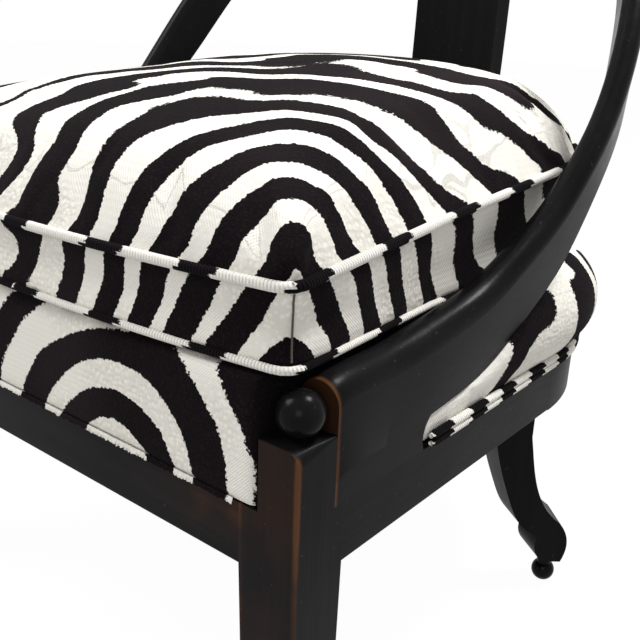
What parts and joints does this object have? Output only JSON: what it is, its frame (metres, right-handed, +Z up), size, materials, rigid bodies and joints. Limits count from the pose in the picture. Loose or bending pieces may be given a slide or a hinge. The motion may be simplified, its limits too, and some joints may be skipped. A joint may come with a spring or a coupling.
{
  "type": "spoon-back open-arm chair with loose seat cushion",
  "caption": "Black lacquered spoon-back chair with sweeping open arms, a flat splat, sabre rear legs and a zebra-pattern upholstered deck with a loose, crowned box cushion.",
  "frame": {"origin": "centre of the box at floor level", "axes": "+X to the sitter's left as seen from the front on the right, +Y to the back of the chair, +Z up"},
  "size_m": [0.5848, 0.6316, 0.7807],
  "materials": {
    "lacquered_wood": "black lacquer with a satin gloss, rubbed brown at edges",
    "plain_wood": "raw hardwood",
    "zebra_velvet": "cut velvet, black stripes on an ivory woven ground",
    "stuffing": "seat foam",
    "webbing": "woven jute",
    "dust_cloth": "black cambric",
    "zip_tape": "ivory zip tape",
    "screw_steel": "zinc plated",
    "glide_plastic": "black"
  },
  "bodies": {
    "frame": {"front_rail": "lacquered_wood", "side_rail_right": "lacquered_wood", "side_rail_left": "lacquered_wood", "back_rail_right": "lacquered_wood", "back_rail_left": "lacquered_wood", "front_leg_right": "lacquered_wood", "front_leg_left": "lacquered_wood", "arm_ball_right": "lacquered_wood", "arm_ball_left": "lacquered_wood", "front_glide_right": "glide_plastic", "front_glide_left": "glide_plastic", "rear_leg_right": "lacquered_wood", "rear_leg_left": "lacquered_wood", "rear_ball_foot_right": "lacquered_wood", "rear_ball_foot_left": "lacquered_wood", "arm_right": "lacquered_wood", "arm_left": "lacquered_wood", "crest_rail": "lacquered_wood", "splat": "lacquered_wood", "corner_block_right": "plain_wood", "corner_block_left": "plain_wood", "leg_dowels_right": "plain_wood", "leg_dowels_left": "plain_wood", "rail_dowels_right": "plain_wood", "rail_dowels_left": "plain_wood", "arm_dowels_right": "plain_wood", "arm_dowels_left": "plain_wood", "middle_dowels": "plain_wood", "leg_screws_right": "screw_steel", "leg_screws_left": "screw_steel", "block_screw_right": "screw_steel", "block_screw_left": "screw_steel", "deck_cover": "zebra_velvet", "deck_stuffing": "stuffing", "double_welt": "zebra_velvet", "webbing_long": "webbing", "webbing_cross": "webbing", "dust_cover": "dust_cloth"},
    "cushion": {"cushion_cover": "zebra_velvet", "cushion_core": "stuffing", "cushion_top_welt": "zebra_velvet", "cushion_bottom_welt": "zebra_velvet", "cushion_zipper": "zip_tape"}
  },
  "joints": [
    {"name": "cushion_lift", "type": "slide", "parent": "frame", "child": "cushion", "axis": [0, 0, 1], "range_m": [0, 0.2]}
  ]
}
